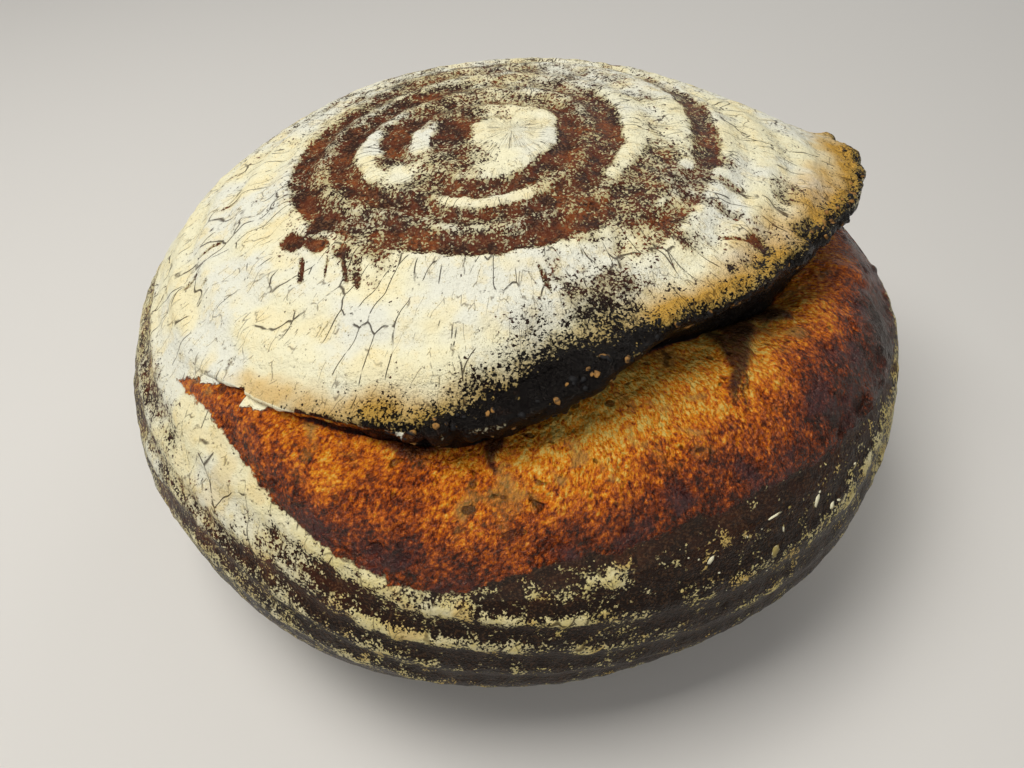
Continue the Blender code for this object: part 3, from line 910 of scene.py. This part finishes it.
# %% A socket that can be summed
class Tone:
    """A socket of a material's node tree."""

    def __init__(self, tree, socket=None):
        self.tree, self.socket = tree, socket

    def node(self, kind, settings=None, inputs=None, out=0):
        """Add a node: its settings first, then the values or links of its sockets."""
        made = self.tree.nodes.new(kind)
        for name, value in (settings or {}).items():
            if name == "stops":
                ramp = made.color_ramp.elements
                while len(ramp) < len(value):
                    ramp.new(0.5)
                for stop, (place, colour) in zip(ramp, value):
                    stop.position, stop.color = place, colour
            else:
                setattr(made, name, value)
        for name, value in (inputs or {}).items():
            if isinstance(value, Tone):
                self.tree.links.new(value.socket, made.inputs[name])
            else:
                made.inputs[name].default_value = value
        return Tone(self.tree, made.outputs[out])

    def maths(self, operation, *values, clamp=False):
        settings = {"operation": operation, "use_clamp": clamp}
        return self.node("ShaderNodeMath", settings, dict(enumerate(values)))

    def __add__(self, other):
        return self.maths("ADD", self, other)

    def __radd__(self, other):
        return self.maths("ADD", other, self)

    def __sub__(self, other):
        return self.maths("SUBTRACT", self, other)

    def __rsub__(self, other):
        return self.maths("SUBTRACT", other, self)

    def __mul__(self, other):
        return self.maths("MULTIPLY", self, other)

    def __rmul__(self, other):
        return self.maths("MULTIPLY", other, self)

    def clamp(self):
        return self.maths("ADD", self, 0.0, clamp=True)

    def above(self, low, high):
        """0 below low, 1 above high, smooth between."""
        settings = {"interpolation_type": "SMOOTHSTEP"}
        return self.node("ShaderNodeMapRange", settings, {"Value": self, "From Min": low, "From Max": high})

    def mix(self, first, second):
        """A colour between two colours, with this tone as the factor."""
        return self.node("ShaderNodeMix", {"data_type": "RGBA"}, {0: self, 6: first, 7: second}, out=2)

    def stretched(self, x, y, z):
        return self.node("ShaderNodeVectorMath", {"operation": "MULTIPLY"}, {0: self, 1: (x, y, z)})

    def grain(self, size, detail, roughness, out=0):
        """Noise from 0 to 1 whose patches are about size metres across, read at this vector."""
        inputs = {"Vector": self, "Scale": 1 / size, "Detail": detail, "Roughness": roughness}
        return self.node("ShaderNodeTexNoise", {}, inputs, out=out)

    def cells(self, size, wobble, wobble_size, feature="F1", out=0):
        """Uneven cells about size metres across: the way to a cell's middle or edge, or its chance."""
        bent = self.node(
            "ShaderNodeVectorMath", {"operation": "MULTIPLY_ADD"},
            {0: self.grain(wobble_size, 1.0, 0.6, out=1), 1: (wobble,) * 3, 2: self},
        )
        inputs = {"Vector": bent, "Scale": 1 / size}
        return bent.node("ShaderNodeTexVoronoi", {"feature": feature}, inputs, out=out)


def srgb(red, green, blue):
    """A colour as a screen gives it, 0 to 255, made linear."""
    shares = np.array([red, green, blue]) / 255
    return (*np.where(shares <= 0.04045, shares / 12.92, ((shares + 0.055) / 1.055) ** 2.4).tolist(), 1.0)


def new_finish(name):
    """A new material and its shader."""
    made = bpy.data.materials.new(name)
    made.use_nodes = True
    return made, made.node_tree.nodes["Principled BSDF"]


crust_finish, shader = new_finish("baked_crust")
tree = crust_finish.node_tree
start = Tone(tree)
print("the finish is called", crust_finish.name)

# %% [markdown]
# ## What the finish reads
#
# Each grid of the skin comes back as an attribute. Fine patterns that don't follow the loaf use
# Object coordinates. Cracks and fibres run down the crust, so they read `flow`: a cylinder round
# which the skin is unrolled, without a seam.

# %% Attributes in the finish
place = start.node("ShaderNodeTexCoord", out="Object")


def read(name, out="Fac"):
    return start.node("ShaderNodeAttribute", {"attribute_name": name}, out=out)


flour, torn_by, charred, warm = read("flour"), read("torn"), read("char"), read("warmth")
baked, webbed_and_shadowed, yellowed_and_shaded = read("bake"), read("web"), read("straw")
flowing = read("flow", out="Vector")
coarse = place.grain(0.011, 2.0, 0.55)
medium = place.grain(0.0042, 3.0, 0.6)
fine = place.grain(0.0012, 3.0, 0.70)
dust = place.grain(0.00042, 1.0, 0.5)
print("four sizes of grain, from dust to patches")

# %% [markdown]
# ## Flour or bare crust
#
# The flour's cover is smooth over the grid. Two sizes of small cells give each grain its own
# chance, and flour shows where cover and chance together pass a half: at half cover half the
# grains are there. A picture of flour would bring its own light along; the cells bring none.
# Cracks are the borders of larger cells, kept in a few places only.

# %% Masks
granules = place.cells(0.0008, 0.0006, 0.0008, out="Color")
small_granules = place.cells(0.00045, 0.0003, 0.0005, out="Color")
grains = (granules - 0.5) * 0.9 + (small_granules - 0.5) * 1.1 + (fine - 0.5) * 0.6 + (medium - 0.5) * 0.7
floured = ((flour - 0.5 + grains) * 6.0 + 0.5).clamp()
pinholes = dust.above(0.62, 0.72) * medium.above(0.36, 0.58)
edge = (torn_by + (coarse - 0.5) * 5.0 + (medium - 0.5) * 5.0 + (fine - 0.5) * 3.0) * 1.6
torn_open = (edge + 0.5).clamp()
skin_flour = floured * (1 - torn_open)

long_way = flowing.stretched(1, 1, 0.42)
wide_cracks = long_way.cells(0.0095, 0.0045, 0.006, "DISTANCE_TO_EDGE")
small_cracks = long_way.cells(0.0046, 0.0022, 0.003, "DISTANCE_TO_EDGE")
crack_places = place.grain(0.015, 2.0, 0.6)
wide_line = 1 - wide_cracks.above(0.002, 0.022)
wide_line = wide_line * crack_places.above(0.47, 0.53) * medium.above(0.36, 0.46)
small_line = 1 - small_cracks.above(0.004, 0.036)
small_line = small_line * crack_places.above(0.60, 0.52) * medium.above(0.49, 0.55)
cracked = (wide_line + small_line * 0.7).clamp()
print("flour, tear and cracks have their masks")

# %% [markdown]
# ## Colours of the floured crust
#
# Flour is cream or cool white where it lies thick, olive where it is only a film, golden where
# the heat of the lip toasted it and pale yellow low on the wall. The bare crust in the rings is
# a dark red-brown and the char is nearly black. Painted shade makes the bare crust darker low on
# the wall and at its front and right.

# %% Floured crust
CREAM = srgb(233, 227, 193)
WHITE = srgb(224, 223, 207)
TAN = srgb(234, 216, 164)
STRAW = srgb(212, 194, 120)
TOAST = srgb(200, 154, 68)
OLIVE = srgb(150, 134, 78)
AMBER = srgb(138, 72, 28)
RUSSET = srgb(92, 40, 16)
UMBER = srgb(44, 21, 12)
CHARCOAL = srgb(10, 8, 9)
SHADE = srgb(20, 8, 5)
SPECK = srgb(150, 108, 72)

broad = place.grain(0.022, 2.0, 0.5)
flour_colour = broad.above(0.40, 0.58).mix(WHITE, CREAM)
flour_colour = ((coarse.above(0.48, 0.68) + medium.above(0.5, 0.66)) * 0.35).mix(flour_colour, TAN)
flour_colour = ((warm + (coarse - 0.5) * 1.3) * warm.above(0.02, 0.2)).clamp().mix(flour_colour, TOAST)
thin = flour.above(1.05, 0.35) * (0.65 - yellowed_and_shaded * 0.45)
flour_colour = thin.mix(flour_colour, OLIVE)
flour_colour = (pinholes * 0.8).mix(flour_colour, OLIVE)
bare_colour = (medium.above(0.42, 0.60) * 0.8).mix(UMBER, RUSSET)
bare_colour = (coarse.above(0.50, 0.64) * fine.above(0.38, 0.60) * 0.7).mix(bare_colour, AMBER)
# Painted shade: bare crust low on the wall, and on the wall's front and right, is mixed towards SHADE, and
# its light specks thin out there.
low_down = place.node("ShaderNodeSeparateXYZ", inputs={0: place}, out=2).above(0.085, 0.035)
shaded = (low_down * 0.85 + yellowed_and_shaded * 0.75).clamp()
bare_colour = shaded.mix(bare_colour, SHADE)
specks = small_granules.above(0.66, 0.70) * (0.28 - shaded * 0.16)
bare_colour = specks.mix(bare_colour, SPECK)
flour_colour = (yellowed_and_shaded * (0.15 + medium * 1.1)).clamp().mix(flour_colour, STRAW)
flour_colour = (yellowed_and_shaded * coarse.above(0.50, 0.62) * 0.45).mix(flour_colour, TOAST)
bare_colour = (charred * (1.15 + (medium - 0.5) * 1.4)).clamp().mix(bare_colour, CHARCOAL)
floured_colour = skin_flour.mix(bare_colour, flour_colour)
floured_colour = (cracked * skin_flour * 0.85).mix(floured_colour, UMBER)
print("flour goes from film to cake")

# %% [markdown]
# ## Colours of the torn crust
#
# The bloom's surface is a felt of stretched fibres, each browned a little more or less than its
# neighbour. Noise that is longer down the crust than across makes them, and it shifts the bake
# before the ramp turns it into colour. Light specks on the fibres are painted highlights for the
# crumb's glints, and lighter fibre tips too.

# %% Torn crust
fibres = flowing.stretched(1, 1, 0.75).grain(0.0008, 3.0, 0.7)
felt = flowing.stretched(1, 1, 0.85).grain(0.0028, 3.0, 0.6)
blotches = place.grain(0.0085, 2.0, 0.5)
pebbles = flowing.cells(0.0015, 0.0016, 0.003)
soft = 1 - baked * 0.45
unevenness = (fibres - 0.5) * 1.9 + (felt - 0.5) * 0.9 + (blotches - 0.5) * 0.8 + (pebbles - 0.35) * 0.4
depth_of_bake = baked + unevenness * soft
SALLOW, PIT, TIP_AND_GLINT = srgb(176, 142, 72), srgb(52, 18, 8), srgb(214, 158, 100)
PLUM, WEB_AND_SHADOW = srgb(84, 50, 54), srgb(40, 14, 10)
BAKE_STOPS = [
    (0.00, srgb(220, 186, 96)),
    (0.22, srgb(224, 148, 30)),
    (0.42, srgb(204, 104, 20)),
    (0.62, srgb(138, 58, 16)),
    (0.82, srgb(74, 28, 10)),
    (1.00, srgb(30, 12, 7)),
]
bloom_colour = depth_of_bake.node("ShaderNodeValToRGB", {"stops": BAKE_STOPS}, {"Fac": depth_of_bake})
sallow = baked.above(0.58, 0.30) * blotches.above(0.54, 0.66) * 0.6
bloom_colour = sallow.mix(bloom_colour, SALLOW)
pits = place.grain(0.0036, 1.0, 0.4).above(0.67, 0.73)
bloom_colour = (pits * 0.7).mix(bloom_colour, PIT)
# Painted highlights: light specks on the fibres stand for the crumb's glints, as well as for lighter fibre
# tips.
tips_and_glints = dust.above(0.60, 0.70) * fibres.above(0.42, 0.30)
bloom_colour = (tips_and_glints * 0.5).mix(bloom_colour, TIP_AND_GLINT)
plum = baked.above(0.60, 0.78) * baked.above(0.96, 0.80) * blotches.above(0.46, 0.60) * 0.5
bloom_colour = plum.mix(bloom_colour, PLUM)
# Dark torn webs, and the ear's painted shadow along the top of the bloom at the right.
bloom_colour = (webbed_and_shadowed * 0.9).mix(bloom_colour, WEB_AND_SHADOW)
bloom_colour = charred.mix(bloom_colour, CHARCOAL)
colour = torn_open.mix(floured_colour, bloom_colour)
print("the bake has", len(BAKE_STOPS), "stops")

# %% [markdown]
# ## Shine and fine relief
#
# Flour is dead dull. Bare crust has a skin that shines a little, most on the bloom, whose fibres
# catch the light as small glints. Everything finer than the mesh is one height in millimetres,
# which a single Bump node turns into light and shade.

# %% Roughness, height and the shader
bare_rough = 0.40 + (medium - 0.5) * 0.3 - charred * 0.14
bloom_rough = 0.24 + (felt - 0.5) * 0.3
rough = bare_rough + (0.95 - bare_rough) * skin_flour
rough = rough + (bloom_rough - rough) * torn_open
height = skin_flour * 0.22 + (dust - 0.5) * 0.16 + (fine - 0.5) * 0.55 + (medium - 0.5) * 0.8
height = height - wide_line * skin_flour * 0.45
torn_height = (fibres - 0.5) * 1.1 + (felt - 0.5) * 0.6 - pebbles * 0.8 + (dust - 0.5) * 0.4 - pits * 0.6
height = height + (torn_height - height) * torn_open + charred * ((fine - 0.5) * 1.0 + (dust - 0.5) * 0.5)
bump = start.node("ShaderNodeBump", {}, {"Strength": 1.0, "Distance": MM, "Height": height})
for socket, tone in {"Base Color": colour, "Roughness": rough, "Normal": bump}.items():
    tree.links.new(tone.socket, shader.inputs[socket])
shader.inputs["Specular IOR Level"].default_value = 0.20
shader.inputs["Specular Tint"].default_value = (1.0, 0.88, 0.74, 1.0)
shiny_finish = crust_finish.copy()
shiny_finish.name = "torn_crust_finish"
shiny_finish.node_tree.nodes["Principled BSDF"].inputs["Specular IOR Level"].default_value = 0.36
for piece, its_finish in ((cap, crust_finish), (bloom, shiny_finish), (wall, crust_finish)):
    piece.data.materials.append(its_finish)

LUMP_TONES = ((crumbs, srgb(150, 108, 52), CHARCOAL, 0.56), (flakes, CREAM, OLIVE, 0.46))
for piece, light_tone, dark_tone, bare_share in LUMP_TONES:
    finish, lump_shader = new_finish(piece.name + "_finish")
    own = Tone(finish.node_tree)
    spot = own.node("ShaderNodeTexCoord", out="Object")
    mottled = spot.grain(0.0035, 3.0, 0.6).above(bare_share - 0.06, bare_share + 0.06)
    tone = mottled.mix(dark_tone, light_tone)
    finish.node_tree.links.new(tone.socket, lump_shader.inputs["Base Color"])
    lump_shader.inputs["Roughness"].default_value = 0.7
    lump_shader.inputs["Specular IOR Level"].default_value = 0.3
    piece.data.materials.append(finish)
print("the finish has", len(tree.nodes), "nodes")

# %% [markdown]
# ## Floor, light and camera
#
# A pale floor and soft light from the upper left, as from a large window, with a weak fill from
# the front and a weaker light from behind. The camera looks 45 degrees down from close by, so the
# near side looms.

# %% Studio
FLOOR_SIZE = 6.0
bed = bmesh.new()
bmesh.ops.create_grid(bed, x_segments=1, y_segments=1, size=FLOOR_SIZE / 2)
floor = add("studio_floor", to_mesh("studio_floor", bed))
paper, paper_shader = new_finish("pale_paper")
paper_shader.inputs["Base Color"].default_value = srgb(214, 211, 206)
paper_shader.inputs["Roughness"].default_value = 0.85
floor.data.materials.append(paper)

world = bpy.data.worlds.new("soft_room")
world.use_nodes = True
world.node_tree.nodes["Background"].inputs["Color"].default_value = srgb(226, 228, 232)
world.node_tree.nodes["Background"].inputs["Strength"].default_value = 0.22
bpy.context.scene.world = world
bpy.context.scene.view_settings.view_transform = "Standard"


def softbox(name, place, target, size, power, tint):
    """A square area light that points at a target."""
    light = bpy.data.lights.new(name, "AREA")
    light.size, light.energy, light.color = size, power, tint
    box = add(name, light)
    box.location = place
    box.rotation_euler = (Vector(target) - Vector(place)).to_track_quat("-Z", "Y").to_euler()


MIDDLE = (0, 0, 0.06)
softbox("window", (-0.32, -0.08, 0.90), MIDDLE, 0.50, 7.3, (1.0, 0.98, 0.94))
softbox("front_fill", (0.10, -0.80, 0.70), MIDDLE, 0.60, 2.2, (1.0, 0.97, 0.93))
softbox("back_rim", (0.40, 0.80, 0.60), MIDDLE, 0.60, 1.5, (1.0, 1.0, 0.98))

CAMERA_TARGET = Vector((0, -0.003, 0.032))
CAMERA_DISTANCE = 0.293
CAMERA_ELEVATION = np.radians(45.0)
CAMERA_WIDTH = np.radians(62.0)
camera_data = bpy.data.cameras.new("camera")
camera_data.sensor_width = 36.0
camera_data.lens = 18.0 / np.tan(CAMERA_WIDTH / 2)
camera_data.clip_start = 0.01
camera = add("camera", camera_data)
towards_camera = Vector((0, -np.cos(CAMERA_ELEVATION), np.sin(CAMERA_ELEVATION)))
camera.location = CAMERA_TARGET + CAMERA_DISTANCE * towards_camera
camera.rotation_euler = (np.pi / 2 - CAMERA_ELEVATION, 0, 0)
bpy.context.scene.camera = camera
print("the camera stands at", [round(side, 3) for side in camera.location])

# %% [markdown]
# ## The end
#
# The three pieces have their own meshes, so the whole skin's mesh is removed.

# %% Remove the whole skin
bpy.data.meshes.remove(skin)
